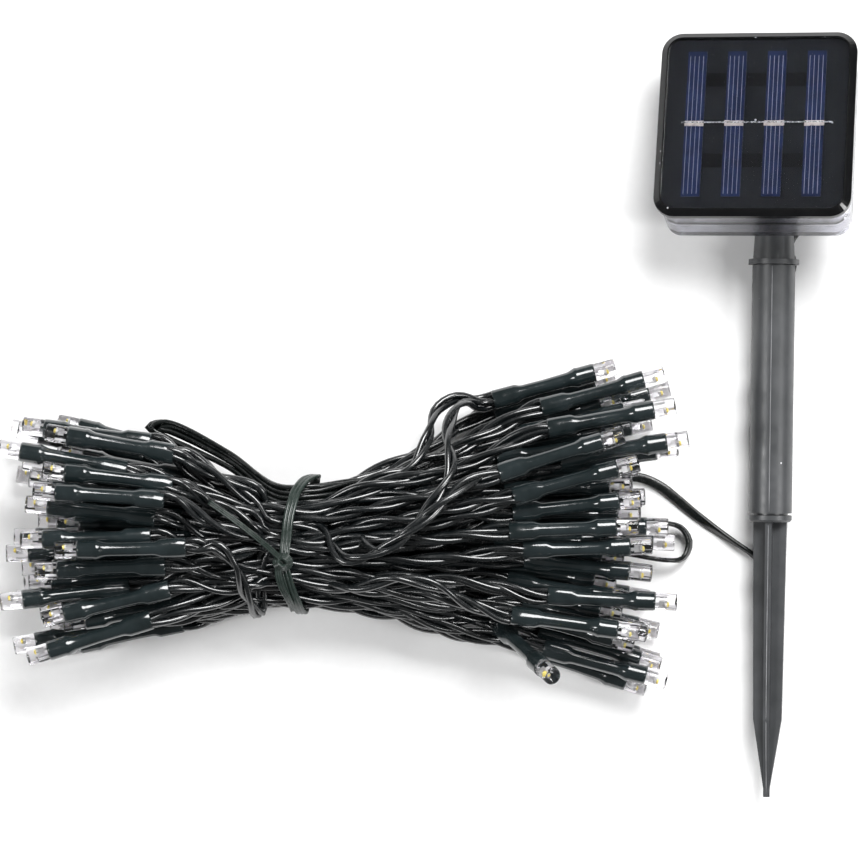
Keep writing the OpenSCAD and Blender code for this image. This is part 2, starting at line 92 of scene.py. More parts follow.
# Lights that lie loose on top of a heap: start point, turn from +X, rise
LEFT_LOOSE = [
    ((-175, 19.5, 23.5), 173, 0), ((-168, 16.5, 29.5), 171, 0), ((-181, 12, 28.5), 171, 2),
    ((-168, 8, 33), 174, 3), ((-173, -1, 29), 175, 1), ((-170, 4, 37), 177, 2),
    ((-174, -6.5, 30.5), -178, 1), ((-170, -14.5, 29), -177, 1), ((-169, -21, 26.5), -166, 3),
    ((-174, -29.5, 24.5), -162, 0), ((-164, -9, 35), -178, 3),
]
RIGHT_LOOSE = [
    ((-79.5, 33, 1), 16, 2), ((-66, 31, 9), 16, 2), ((-64.5, 25, 23.5), 11, 2),
    ((-61, 16.5, 24.5), 10, 2), ((-78, 12.5, 29.5), 18, 3), ((-74, 1.5, 22), 7, 2),
    ((-74, 6, 28), 16, 2), ((-71, -9, 22.5), 3, 2), ((-75, -3.5, 25), 3, 2),
    ((-64, -21.5, 23.5), -2, 1), ((-74, -27, 23), -7, 2), ((-64.5, -37, 8.5), -14, 1),
    ((-76.7, -31.1, 11.3), -40, 60),
]

# The lead: flat twin cable; its route on the ground is the CAD part's
LEAD_W, LEAD_T = 2.8, 1.4
LEAD_FLAT_Z = FLOOR_Z + LEAD_T / 2 + 0.02
LEAD_ROUTE = [
    (11.2, 90.3, 5.1), (11.6, 89.2, 2.2), (11.3, 87.8, -1.4), (10.0, 86.2, -4.6),
    (7.9, 83.8, -6.2), (5.6, 80.8, LEAD_FLAT_Z), (4.6, 77.4, LEAD_FLAT_Z), (5.9, 73.6, LEAD_FLAT_Z),
    (5.0, 69.5, LEAD_FLAT_Z), (4.3, 64.0, LEAD_FLAT_Z), (4.2, 50.0, LEAD_FLAT_Z), (4.2, 38.0, LEAD_FLAT_Z),
    (4.2, 26.0, LEAD_FLAT_Z), (4.2, 14.0, LEAD_FLAT_Z), (4.2, 5.0, LEAD_FLAT_Z), (4.2, 0.0, LEAD_FLAT_Z),
    (3.9, -5.2, LEAD_FLAT_Z), (2.9, -9.2, LEAD_FLAT_Z), (0.4, -11.4, LEAD_FLAT_Z),
    (-2.6, -11.3, LEAD_FLAT_Z), (-5.5, -9.3, LEAD_FLAT_Z),
    (-12.0, -5.2, LEAD_FLAT_Z), (-20.3, 0.6, LEAD_FLAT_Z), (-26.0, 5.2, LEAD_FLAT_Z),
    (-31.0, 9.0, LEAD_FLAT_Z), (-37.0, 11.4, LEAD_FLAT_Z), (-46.0, 11.2, LEAD_FLAT_Z),
    (-58.0, 9.6, LEAD_FLAT_Z), (-70.0, 8.0, -5.8), (-80.8, 6.8, -5.2),
]
LEAD_STEP = 1.6

# How far the lead stands on edge, from 0 (flat) to 1 (upright), by the X of a route point
LEAD_ROLL = {0.4: 0.3, -2.6: 0.6, -5.5: 0.9, -12.0: 0.75, -20.3: 0.3, -26.0: 0.1}

# The string: two thin wires, loosely twisted. Its two runs enter a sleeve side by side, this far from the
# sleeve's middle line, and end this deep in it.
WIRE_R = 0.92
PAIR_D = 4 * WIRE_R
TWIST = 29.0
STRING_STEP = 2.0
JOINT_IN = 6.5
ENTRY = 3
APART_IN, APART_OUT = 0.75, 1.05
WAIST_PITCH = 2.52
WAIST_STRAIGHT = 7


# ---------------------------------------------------------------- camera
def make_camera():
    data = bpy.data.cameras.new("camera")
    data.sensor_width = 36
    data.lens = 145.5
    data.clip_start = 0.05
    data.clip_end = 20
    camera = bpy.data.objects.new("camera", data)
    camera.location = (-0.0962, 0.0231, 1.0)
    camera.rotation_euler = (0, 0, math.radians(0.8))
    bpy.context.scene.collection.objects.link(camera)
    bpy.context.scene.camera = camera


# ---------------------------------------------------------------- small tools
def unit(v):
    v = np.asarray(v, float)
    return v / np.linalg.norm(v)


def chance(i, k):
    """A repeatable number from 0 to 1 for item i and use k."""
    v = math.sin(math.radians(i * 127.1 + k * 311.7)) * 43758.5453
    return v - math.floor(v)


def either(i, k):
    """A repeatable number from -1 to 1."""
    return 2 * chance(i, k) - 1


def smooth_line(points, step):
    """Points step apart on a centripetal curve through the given points."""
    p = np.array(points, float)
    p = np.vstack([2 * p[0] - p[1], p, 2 * p[-1] - p[-2]])
    gaps = np.sqrt(np.maximum(np.linalg.norm(np.diff(p[:, :3], axis=0), axis=1), 1e-6))
    out = []
    for i in range(1, len(p) - 2):
        k0, k1, k2 = gaps[i - 1], gaps[i], gaps[i + 1]
        m1 = (p[i + 1] - p[i]) - k1 * ((p[i + 1] - p[i - 1]) / (k0 + k1) - (p[i] - p[i - 1]) / k0)
        m2 = (p[i + 1] - p[i]) - k1 * ((p[i + 2] - p[i]) / (k1 + k2) - (p[i + 2] - p[i + 1]) / k2)
        n = max(2, int(np.linalg.norm((p[i + 1] - p[i])[:3]) / step * 2) + 1)
        t = np.linspace(0, 1, n, endpoint=False)[:, None]
        out.append(
            (2 * t**3 - 3 * t**2 + 1) * p[i] + (t**3 - 2 * t**2 + t) * m1
            + (3 * t**2 - 2 * t**3) * p[i + 1] + (t**3 - t**2) * m2
        )
    line = np.vstack(out + [p[-2:-1]])
    along = np.concatenate([[0], np.cumsum(np.linalg.norm(np.diff(line[:, :3], axis=0), axis=1))])
    at = np.linspace(0, along[-1], max(2, int(round(along[-1] / step)) + 1))
    return np.stack([np.interp(at, along, line[:, k]) for k in range(line.shape[1])], axis=1)


def headings(line):
    """The direction of a line at each of its points."""
    t = np.gradient(line, axis=0)
    return t / np.linalg.norm(t, axis=1)[:, None]


def carried_frames(line):
    """Two directions across a line that don't twist along it."""
    t = headings(line)
    a = np.cross(t[0], UP)
    a = unit(a if np.linalg.norm(a) > 0.1 else np.cross(t[0], (1, 0, 0)))
    first = [a]
    for i in range(1, len(t)):
        a = a - t[i] * a.dot(t[i])
        a = a / np.linalg.norm(a)
        first.append(a)
    first = np.array(first)
    return first, np.cross(t, first)


def mesh_object(name, points, faces, smooth=True):
    """A mesh from points in millimetres."""
    mesh = bpy.data.meshes.new(name)
    mesh.from_pydata([tuple(p) for p in np.asarray(points) * MM], [], faces)
    mesh.validate()
    for polygon in mesh.polygons:
        polygon.use_smooth = smooth
    thing = bpy.data.objects.new(name, mesh)
    bpy.context.scene.collection.objects.link(thing)
    return thing


class Build:
    """Gathers the points and faces of one piece."""

    def __init__(self):
        self.points = []
        self.faces = []
        self.count = 0

    def add(self, points, faces):
        self.points.append(np.asarray(points, float))
        self.faces += [tuple(i + self.count for i in face) for face in faces]
        self.count += len(points)

    def rings(self, rings):
        """Joins rings of equal length to a closed skin with flat ends."""
        n = len(rings[0])
        faces = []
        for i in range(len(rings) - 1):
            for k in range(n):
                q = (k + 1) % n
                faces.append((i * n + k, i * n + q, (i + 1) * n + q, (i + 1) * n + k))
        faces.append(tuple(range(n - 1, -1, -1)))
        faces.append(tuple((len(rings) - 1) * n + k for k in range(n)))
        self.add(np.vstack(rings), faces)

    def done(self, name, smooth=True):
        return mesh_object(name, np.vstack(self.points), self.faces, smooth)


def sweep(build, line, across, over, outline):
    """Sweeps an outline of [across, over] points along a line."""
    rings = []
    for middle, side, up in zip(line, across, over):
        rings.append(middle + np.outer(outline[:, 0], side) + np.outer(outline[:, 1], up))
    build.rings(rings)


def circle_outline(r, sides):
    a = np.arange(sides) * 2 * math.pi / sides
    return np.stack([r * np.cos(a), r * np.sin(a)], axis=1)


def head_matrix():
    """From the head's own millimetres, with the hinge pin at 0 and the face along +Z, to the row frame."""
    return (
        Matrix.Translation((0, HINGE_Y, 0))
        @ Matrix.Rotation(math.radians(-STAKE_ROLL), 4, "Y")
        @ Matrix.Rotation(math.radians(-HEAD_TILT), 4, "X")
    )


HEAD = np.array(head_matrix())


def from_head(points):
    return np.asarray(points, float) @ HEAD[:3, :3].T + HEAD[:3, 3]


# ---------------------------------------------------------------- materials
# How deep a bump of strength 1 is, in metres, and the dust: its radius as a share of a cell, and its colour
BUMP_M = 0.0002
SPECK_R = 0.12
DUST = (0.5, 0.5, 0.52, 1)


def new_material(name):
    material = bpy.data.materials.new(name)
    material.use_nodes = True
    nodes = material.node_tree.nodes
    return material, nodes, material.node_tree.links, nodes["Principled BSDF"]


def noise(nodes, links, scale, detail=3.0):
    texture = nodes.new("ShaderNodeTexNoise")
    texture.inputs["Scale"].default_value = scale
    texture.inputs["Detail"].default_value = detail
    place = nodes.new("ShaderNodeTexCoord")
    links.new(place.outputs["Object"], texture.inputs["Vector"])
    return texture


def ramp(nodes, links, source, stops):
    """A colour ramp; stops are (place, colour)."""
    node = nodes.new("ShaderNodeValToRGB")
    while len(node.color_ramp.elements) < len(stops):
        node.color_ramp.elements.new(0.5)
    for element, (place, colour) in zip(node.color_ramp.elements, stops):
        element.position = place
        element.color = (*colour, 1)
    links.new(source, node.inputs["Fac"])
    return node.outputs["Color"]


def relief(nodes, links, source, strength, shader):
    """Bumps the surface by a texture."""
    bump = nodes.new("ShaderNodeBump")
    bump.inputs["Strength"].default_value = strength
    bump.inputs["Distance"].default_value = BUMP_M
    links.new(source, bump.inputs["Height"])
    links.new(bump.outputs["Normal"], shader.inputs["Normal"])


def spread_value(nodes, links, source, low, high):
    """A value from low to high, as a noise texture rises from dark to light."""
    node = nodes.new("ShaderNodeMapRange")
    node.inputs["From Min"].default_value = 0.3
    node.inputs["From Max"].default_value = 0.7
    node.inputs["To Min"].default_value = low
    node.inputs["To Max"].default_value = high
    links.new(source, node.inputs["Value"])
    return node.outputs["Result"]


def surface(name, dark, light, rough, grain, bump, scale=180, **sockets):
    """A moulded or extruded surface: mottled colour, uneven gloss and fine grain."""
    material, nodes, links, shader = new_material(name)
    mottle = noise(nodes, links, scale)
    colour = ramp(nodes, links, mottle.outputs["Fac"], [(0.35, dark), (0.65, light)])
    links.new(colour, shader.inputs["Base Color"])
    patches = noise(nodes, links, scale * 2.7, 4)
    links.new(spread_value(nodes, links, patches.outputs["Fac"], *rough), shader.inputs["Roughness"])
    fine = noise(nodes, links, grain, 2)
    relief(nodes, links, fine.outputs["Fac"], bump, shader)
    for socket, value in sockets.items():
        shader.inputs[socket.replace("_", " ")].default_value = value
    return material


def below(nodes, links, source, limit):
    """1 where the source is under the limit, and 0 elsewhere."""
    node = nodes.new("ShaderNodeMath")
    node.operation = "LESS_THAN"
    node.inputs[1].default_value = limit
    links.new(source, node.inputs[0])
    return node.outputs[0]


def dusty(name, dark, light, rough, size, share, **sockets):
    """A dark glossy surface with a few pale specks of dust: a share of the cells of this size has one."""
    material = surface(name, dark, light, rough, 900, 0.05, 120, **sockets)
    nodes, links = material.node_tree.nodes, material.node_tree.links
    shader = nodes["Principled BSDF"]
    clean = shader.inputs["Base Color"].links[0].from_socket
    cells = nodes.new("ShaderNodeTexVoronoi")
    cells.inputs["Scale"].default_value = 1 / size
    place = nodes.new("ShaderNodeTexCoord")
    links.new(place.outputs["Object"], cells.inputs["Vector"])
    near = below(nodes, links, cells.outputs["Distance"], SPECK_R)
    pick = nodes.new("ShaderNodeSeparateColor")
    links.new(cells.outputs["Color"], pick.inputs["Color"])
    few = below(nodes, links, pick.outputs["Red"], share)
    both = nodes.new("ShaderNodeMath")
    both.operation = "MULTIPLY"
    links.new(near, both.inputs[0])
    links.new(few, both.inputs[1])
    mix = nodes.new("ShaderNodeMix")
    mix.data_type = "RGBA"
    links.new(both.outputs[0], mix.inputs["Factor"])
    links.new(clean, mix.inputs["A"])
    mix.inputs["B"].default_value = DUST
    links.new(mix.outputs["Result"], shader.inputs["Base Color"])
    return material


def clear(name, colour, rough, grain=700, bump=0.03, ior=1.49):
    """A clear moulded plastic."""
    material, nodes, links, shader = new_material(name)
    mottle = noise(nodes, links, 90)
    pale = tuple(min(1, c * 1.03) for c in colour)
    tint = ramp(nodes, links, mottle.outputs["Fac"], [(0.3, colour), (0.7, pale)])
    links.new(tint, shader.inputs["Base Color"])
    patches = noise(nodes, links, 260)
    links.new(spread_value(nodes, links, patches.outputs["Fac"], *rough), shader.inputs["Roughness"])
    fine = noise(nodes, links, grain)
    relief(nodes, links, fine.outputs["Fac"], bump, shader)
    shader.inputs["Transmission Weight"].default_value = 1
    shader.inputs["IOR"].default_value = ior
    return material


def string_materials():
    return {
        "wire": surface(
            "wire_cover", (0.0016, 0.0027, 0.0032), (0.0034, 0.0050, 0.0058), (0.2, 0.3),
            grain=1500, bump=0.05, scale=160, Specular_IOR_Level=1.0,
        ),
        "lead": surface(
            "lead_cover", (0.0030, 0.0042, 0.0040), (0.0060, 0.0078, 0.0074), (0.2, 0.34),
            grain=1500, bump=0.08, scale=160,
        ),
        "sleeve": surface(
            "shrink_sleeve", (0.0074, 0.0120, 0.0128), (0.0145, 0.0212, 0.0230), (0.1, 0.24),
            grain=420, bump=0.3, scale=140, Coat_Weight=0.5, Coat_Roughness=0.06,
        ),
        "lens": clear("lens_resin", (0.95, 0.935, 0.96), (0.0, 0.05), ior=1.42),
        "frame": surface(
            "led_frame", (0.66, 0.66, 0.66), (0.82, 0.82, 0.82), (0.35, 0.5),
            grain=900, bump=0.1, Metallic=0.6,
        ),
        "die": surface(
            "led_phosphor", (0.86, 0.68, 0.12), (0.98, 0.86, 0.30), (0.4, 0.6),
            grain=3000, bump=0.2, scale=900,
        ),
        "tie": surface(
            "tie_cover", (0.013, 0.022, 0.018), (0.026, 0.037, 0.032), (0.2, 0.34),
            grain=1200, bump=0.12, scale=200,
        ),
    }


def head_materials():
    return {
        "tray": dusty(
            "tray_plastic", (0.0030, 0.0032, 0.0036), (0.0055, 0.0057, 0.0062), (0.12, 0.25),
            size=0.0019, share=0.04, Specular_IOR_Level=0.3,
        ),
        "glaze": clear("resin_face", (0.9, 0.92, 0.95), (0.0, 0.03), grain=60, bump=0.004, ior=1.25),
        "bed": dusty(
            "cell_bed", (0.0085, 0.0095, 0.0110), (0.0115, 0.0125, 0.0140), (0.4, 0.55),
            size=0.0026, share=0.05, Specular_IOR_Level=0.08,
        ),
        "tape": surface(
            "cell_tape", (0.0030, 0.0034, 0.0038), (0.0042, 0.0046, 0.0050), (0.4, 0.5),
            grain=900, bump=0.05, Specular_IOR_Level=0.08,
        ),
        "cell": surface(
            "cell_silicon", (0.0075, 0.0130, 0.0400), (0.0115, 0.0195, 0.0600), (0.3, 0.42),
            grain=2500, bump=0.04, scale=300, Specular_IOR_Level=0.1,
        ),
        "finger": surface(
            "cell_fingers", (0.19, 0.20, 0.28), (0.27, 0.28, 0.37), (0.4, 0.55),
            grain=1500, bump=0.05,
        ),
        "tab": surface(
            "solder_tab", (0.40, 0.34, 0.31), (0.56, 0.49, 0.45), (0.35, 0.5),
            grain=900, bump=0.3, scale=700, Metallic=0.2,
        ),
        "solder": surface(
            "solder_wire", (0.4, 0.4, 0.4), (0.65, 0.65, 0.66), (0.2, 0.35),
            grain=900, bump=0.3, scale=700, Metallic=0.8,
        ),
        "case": clear("case_plastic", (0.69, 0.69, 0.75), (0.14, 0.26)),
        "seam": surface(
            "seam_dark", (0.012, 0.012, 0.014), (0.028, 0.028, 0.032), (0.4, 0.6),
            grain=900, bump=0.2,
        ),
    }


def stake_materials():
    return {
        "stake": dusty(
            "stake_plastic", (0.042, 0.0445, 0.047), (0.055, 0.0575, 0.061), (0.3, 0.44),
            size=0.0023, share=0.02,
        ),
        # The mould lines are real raised seams, but their colour, much lighter than the stake, is a painted
        # highlight along them
        "line": surface(
            "highlit_mould_line", (0.13, 0.132, 0.14), (0.2, 0.202, 0.21), (0.3, 0.42),
            grain=900, bump=0.05,
        ),
    }


def small_part_materials():
    return {
        "steel": surface(
            "screw_steel", (0.5, 0.5, 0.5), (0.66, 0.66, 0.67), (0.22, 0.38),
            grain=1800, bump=0.2, Metallic=1.0,
        ),
        "board": surface(
            "board_lacquer", (0.02, 0.1, 0.04), (0.03, 0.14, 0.06), (0.25, 0.4),
            grain=1500, bump=0.1,
        ),
        "chip": surface(
            "chip_case", (0.01, 0.01, 0.01), (0.02, 0.02, 0.021), (0.45, 0.6),
            grain=2500, bump=0.2,
        ),
        "copper": surface(
            "choke_copper", (0.35, 0.14, 0.06), (0.5, 0.22, 0.1), (0.25, 0.4),
            grain=1500, bump=0.3, Metallic=1.0,
        ),
        "battery": surface(
            "battery_wrap", (0.35, 0.37, 0.38), (0.45, 0.47, 0.48), (0.25, 0.4),
            grain=900, bump=0.1,
        ),
        "key": surface(
            "button_rubber", (0.02, 0.02, 0.022), (0.035, 0.035, 0.038), (0.5, 0.65),
            grain=2200, bump=0.25,
        ),
        "red": surface(
            "wire_red", (0.28, 0.02, 0.015), (0.36, 0.03, 0.02), (0.3, 0.45),
            grain=1500, bump=0.1,
        ),
    }


def make_materials():
    return {**string_materials(), **head_materials(), **stake_materials(), **small_part_materials()}


def paint(thing, material):
    thing.data.materials.clear()
    thing.data.materials.append(material)


# ---------------------------------------------------------------- where the lights are, as in the CAD part
def heap(end):
    """Slots of a close-packed heap: [sideways, height above the lowest row]."""
    half, slots = end["half"], []
    for row in range(end["rows"]):
        for col in range(-8, 9):
            side = (col + (row % 2) / 2) * LIGHT_PITCH
            height = row * LIGHT_PITCH * math.sqrt(3) / 2
            level = (REST_Z + height - FLOOR_Z) / (2 * half[1])
            if abs(side) <= half[0] * math.sqrt(1 - level * level):
                slots.append((side, height))
    return slots


def fanned(slot, i, end):
    """The start and direction of the light in a slot of the heap: the heap fans out away from the waist."""
    along = STAGGER * chance(i, 1)
    grow = 1 + along / end["reach"]
    start = np.array([end["x"] + end["way"] * along, end["y"] + slot[0] * grow, REST_Z + slot[1] * grow])
    return start, unit([end["way"], slot[0] / end["reach"], slot[1] / end["reach"]])


def spread_slot(slot):
    """The lowest row leaves the lead's channel open, and the rows above it lie a little higher."""
    if slot[1] > 0:
        return slot[0], slot[1] + CHANNEL_LIFT
    way = 1 if slot[0] > CHANNEL_Y - RIGHT["y"] else -1
    return slot[0] + way * CHANNEL_W / 2, slot[1]


def lying(light):
    start, turn, rise = light
    a, b = math.radians(turn), math.radians(rise)
    run = [math.cos(a) * math.cos(b), math.sin(a) * math.cos(b), math.sin(b)]
    return np.array(start, float), np.array(run)


def place_of(start, end):
    """Where a light is, as a share of the half width and half height of its end."""
    return ((start[1] - end["y"]) / end["half"][0], (start[2] - FLOOR_Z) / end["half"][1] - 1)


def all_lights():
    """Every light: its start, its direction and its place in its end of the hank."""
    left = [fanned(slot, i, LEFT) for i, slot in enumerate(heap(LEFT)[: END_LIGHTS - len(LEFT_LOOSE)])]
    left += [lying(light) for light in LEFT_LOOSE]
    heaped = heap(RIGHT)[: END_LIGHTS - len(RIGHT_LOOSE)]
    right = [fanned(spread_slot(slot), i + END_LIGHTS, RIGHT) for i, slot in enumerate(heaped)]
    right += [lying(light) for light in RIGHT_LOOSE]
    lights = [(start, run, place_of(start, LEFT)) for start, run in left]
    return lights + [(start, run, place_of(start, RIGHT)) for start, run in right]


def light_frame(i, lights):
    """A light's start, its direction and the two directions across it."""
    start, run, _ = lights[i]
    across = unit(np.cross(UP, run))
    over = np.cross(run, across)
    turn = 0.5 * either(i, 5)
    c, s = math.cos(turn), math.sin(turn)
    return start, run, c * across + s * over, c * over - s * across


# ---------------------------------------------------------------- the string of twisted wires
def matched(wanted, offered):
    """For each wanted place an offered one, so that the sum of squared distances is small."""
    wanted, offered = np.array(wanted), np.array(offered)
    order = np.arange(len(wanted))
    for _ in range(30):
        changed = False
        for i in range(len(order)):
            a = ((wanted[i] - offered[order[i]]) ** 2).sum()
            b = ((wanted - offered[order]) ** 2).sum(1)
            swapped = ((wanted[i] - offered[order]) ** 2).sum(1) + ((wanted - offered[order[i]]) ** 2).sum(1)
            gain = a + b - swapped
            k = int(np.argmax(gain))
            if gain[k] > 1e-9 and k != i:
                order[i], order[k] = order[k], order[i]
                changed = True
        if not changed:
            break
    return order


def waist_slots(count):
    """Places across the waist for the runs of the string, clear of the lead's runs."""
    found = []
    for row in range(-6, 7):
        for col in range(-9, 10):
            y = (col + (row % 2) / 2) * WAIST_PITCH
            z = row * WAIST_PITCH * math.sqrt(3) / 2
            edge = (y / (WAIST_HALF[0] - 1.2)) ** 2 + (z / (WAIST_HALF[1] - 1.2)) ** 2
            at_lead = y > 11.4 and abs(z) < 5.6
            if edge <= 1 and not at_lead:
                found.append((edge, y, z))
    found.sort()
    return [(y, z) for _, y, z in found[:count]]


def serpentine(lights, first, last):
    """Lights first to last in an order that goes back and forth through the heap."""
    rows = {}
    for i in range(first, last):
        rows.setdefault(round(lights[i][2][1] * 4), []).append(i)
    order = []
    for n, level in enumerate(sorted(rows)):
        row = sorted(rows[level], key=lambda i: lights[i][2][0])
        order += row if n % 2 == 0 else row[::-1]
    return order


def halfway(lights, a, b):
    """The place halfway between the places of two lights."""
    return tuple((np.array(lights[a][2]) + np.array(lights[b][2])) / 2)


def string_stops(lights):
    """The lights in the order of the string: it goes to and fro between right and left."""
    left = serpentine(lights, 0, END_LIGHTS)
    rights = list(range(END_LIGHTS, 2 * END_LIGHTS))
    wanted = [lights[left[0]][2]] + [halfway(lights, a, b) for a, b in zip(left[:-1], left[1:])]
    picked = matched(wanted, [lights[i][2] for i in rights])
    stops = []
    for n, a in enumerate(left):
        stops += [rights[picked[n]], a]
    return stops


def waist_places(lights, stops):
    """Where each run of the string goes through the waist."""
    share = [halfway(lights, a, b) for a, b in zip(stops[:-1], stops[1:])]
    slots = waist_slots(len(share))
    chosen = matched(share, [(y / WAIST_HALF[0], z / WAIST_HALF[1]) for y, z in slots])
    return [WAIST + (0, *slots[k]) for k in chosen]


def string_points(lights):
    """The string's control points, from the first light through the waist to and fro to the last."""
    stops = string_stops(lights)
    middles = waist_places(lights, stops)
    points = []
    for n, stop in enumerate(stops):
        start, run, across, _ = light_frame(stop, lights)
        if n > 0:
            points += [start - ENTRY * run - APART_OUT * across, start + ENTRY * run - APART_IN * across]
        points.append(start + JOINT_IN * run)
        if n == len(stops) - 1:
            break
        points += [start + ENTRY * run + APART_IN * across, start - ENTRY * run + APART_OUT * across]
        middle = middles[n]
        way = 1 if stops[n + 1] >= END_LIGHTS else -1
        target = light_frame(stops[n + 1], lights)[0]
        leaving, arriving = BOWS.get((stop, "out")), BOWS.get((stops[n + 1], "in"))
        points += leaving or between(start, middle, n, 0, (0.34, 0.7))
        points += [middle - (way * WAIST_STRAIGHT, 0, 0), middle + (way * WAIST_STRAIGHT, 0, 0)]
        points += arriving[::-1] if arriving else between(middle, target, n, 50, (0.3, 0.66))
    return points


# Runs that leave the hank in a wide bow: the light, and the way from it to the waist
FIRST_RIGHT_LOOSE = 2 * END_LIGHTS - len(RIGHT_LOOSE)
BOWS = {
    (FIRST_RIGHT_LOOSE, "in"): [
        (-88, 32, 8), (-92.5, 24, 21), (-91.5, 13, 30), (-98, 2, 33), (-110, -9, 31),
    ],
    (FIRST_RIGHT_LOOSE, "out"): [(-90, 33.5, 5), (-95.5, 30, 8), (-98, 22, 16), (-104, 12, 20)],
    (END_LIGHTS - 1, "out"): [(-156, -8.5, 35.5), (-150.5, -14, 33), (-147.5, -23, 26), (-144, -28, 17)],
    (FIRST_RIGHT_LOOSE + 10, "in"): [(-84, -25, 25), (-95, -19, 30), (-106, -17, 31), (-118, -20, 27)],
    (FIRST_RIGHT_LOOSE + 4, "out"): [(-88, 9, 32), (-97, 1, 34), (-108, -8, 32), (-120, -12, 30)],
}


def between(a, b, n, use, shares):
    """Points on the way from a to b, a little off the straight line."""
    out = []
    for k, share in enumerate(shares):
        p = a + (b - a) * share
        # the runs bend towards the waist and then lie along it
        eased = share ** 1.3 if use else 1 - (1 - share) ** 1.3
        p[1:] = a[1:] + (b - a)[1:] * eased
        stray = 2.1 * math.sin(math.pi * share)
        p = p + (0, stray * either(n, use + 11 + k), 0.8 * stray * either(n, use + 21 + k))
        p[2] = max(p[2], FLOOR_Z + PAIR_D / 2)
        out.append(p)
    return out


def make_string(lights, material):
    """The two wires of the string, wound about its middle line."""
    line = smooth_line(string_points(lights), STRING_STEP)
    line[:, 2] = np.maximum(line[:, 2], FLOOR_Z + PAIR_D / 2)
    across, over = carried_frames(line)
    along = np.arange(len(line)) * STRING_STEP
    angle = 2 * math.pi * along / TWIST + 2.2 * np.sin(along / 97.0)
    build = Build()
    for strand in range(2):
        a = angle + strand * math.pi
        aside = WIRE_R * (np.cos(a)[:, None] * across + np.sin(a)[:, None] * over)
        sweep(build, line + aside, across, over, circle_outline(WIRE_R, 8))
    string = build.done("string_wires")
    paint(string, material)
    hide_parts("string_hank")
    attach(string, "base")
    return string, line


# ---------------------------------------------------------------- the lead
# The lead's folds in the hank lie in three layers of four runs: the height of each layer, the place of each
# run across the waist, and the order of the runs, outer fold first and then the inner fold
LAYERS = (-3.0, 0.0, 3.0)
COLUMNS = (16.4, 15.0, 13.6, 12.2)
OUTER = (0, 3)
RUN_ORDER = (0, 3, 2, 1)
# The folds' left ends: their place, how far each column is from it, and the bend back
FOLD_X, FOLD_Y = -177.6, 23.6
FOLD_ASIDE = (2.0, 0.66, -0.66, -2.0)
FOLD_BEND = 3.4
# The roll of a stretch that stands on edge
EDGE = 1


def fold_tip(layer, column):
    """The X and Z of the left end of a fold."""
    inner = 0 if column in OUTER else 1.6
    return FOLD_X + inner + 0.8 * layer, 1.2 + 2.9 * layer


def lead_run(layer, column):
    """One run of the lead from its right end through the waist to its fold at the left."""
    height = LAYERS[layer]
    waist = WAIST + (0, COLUMNS[column], height)
    tip_x, tip_z = fold_tip(layer, column)
    fold = (tip_x + FOLD_BEND, FOLD_Y + FOLD_ASIDE[column], tip_z)
    middle = (
        (fold[0] + waist[0]) / 2,
        0.5 * fold[1] + 0.5 * waist[1] + 0.3,
        0.5 * (fold[2] + waist[2]),
    )
    right = (-112.0, 1.6 + 0.45 * COLUMNS[column], 4.5 + 1.2 * height)
    return [(*p, EDGE) for p in (right, waist + (5, 0, 0), waist - (5, 0, 0), middle, fold)]


def lead_points(lights, last_light):
    """The lead's control points, each with the roll of the flat cable: 0 lies flat, 1 stands on edge."""
    nose = from_head([[GROMMET_U, 0, GROMMET_NOSE_W + 1.5], [GROMMET_U, 0, GROMMET_NOSE_W]])
    points = [(*nose[0], 0), (*nose[1], 0)]
    points += [(*p, LEAD_ROLL.get(p[0], 0)) for p in LEAD_ROUTE[1:]]
    for layer in range(len(LAYERS)):
        for n, column in enumerate(RUN_ORDER):
            run = lead_run(layer, column)
            if n % 2 == 0:
                tip_x, tip_z = fold_tip(layer, column)
                tip_x -= 0.3 if column in OUTER else 0
                points += run + [(tip_x, FOLD_Y + (0.2 if n == 0 else -0.2), tip_z, EDGE)]
            else:
                points += run[::-1] + right_turn(layer, n)
    start, run, across, over = light_frame(last_light, lights)
    points += [(*(start - 9 * run - 1.0 * over), 0.5), (*(start - 2 * run - 1.2 * over), 0.5)]
    return points


# The long loop at the right end: how far it has spread at each X
LOOP_RAY = [(-92, 0.95), (-80, 1.0), (-62, 1.18), (-44, 1.36)]


def long_loop():
    """The loop that goes out between the lowest lights and comes back two lights further on."""
    out = [(x, RIGHT["y"] + 0.25 * grow, REST_Z + 2.85 * grow, EDGE) for x, grow in LOOP_RAY]
    back = [(x, RIGHT["y"] - 5.65 * grow, REST_Z + 2.85 * grow, EDGE) for x, grow in LOOP_RAY]
    tip = [
        (-29, -1.5, -1.6, 1), (-24.6, -3.2, -4.2, 0.8), (-22.6, -7.2, -5.2, 0.6),
        (-24.4, -11.4, -4.2, 0.8), (-29, -12.0, -1.6, 1),
    ]
    return out + tip + back[::-1]


def right_turn(layer, n):
    """How the lead turns back at the right end of the hank: four short folds and one long loop."""
    last = len(RUN_ORDER) - 1
    if (layer, n) == (0, last):
        return long_loop()
    if (layer, n) == (len(LAYERS) - 1, last):
        # the last run goes on to the first light
        return []
    x, y, z = -91.0 - 3 * layer + n, 9.0, 1.0 + 3.1 * layer + 0.8 * n
    return [(x - 5, y + 3, z, EDGE), (x, y, z, EDGE), (x - 5, y - 3, z, EDGE)]


def flat_twin_outline():
    """Two round cores side by side, as [across, over] points."""
    r = LEAD_T / 2
    outline = []
    for side in (1, -1):
        for a in (-67.5, -36, 0, 36, 67.5):
            t = math.radians(a if side > 0 else a + 180)
            outline.append((side * (LEAD_W / 2 - r) + r * math.cos(t), r * math.sin(t)))
        outline.append((0, side * r * 0.72))
    return np.array(outline)


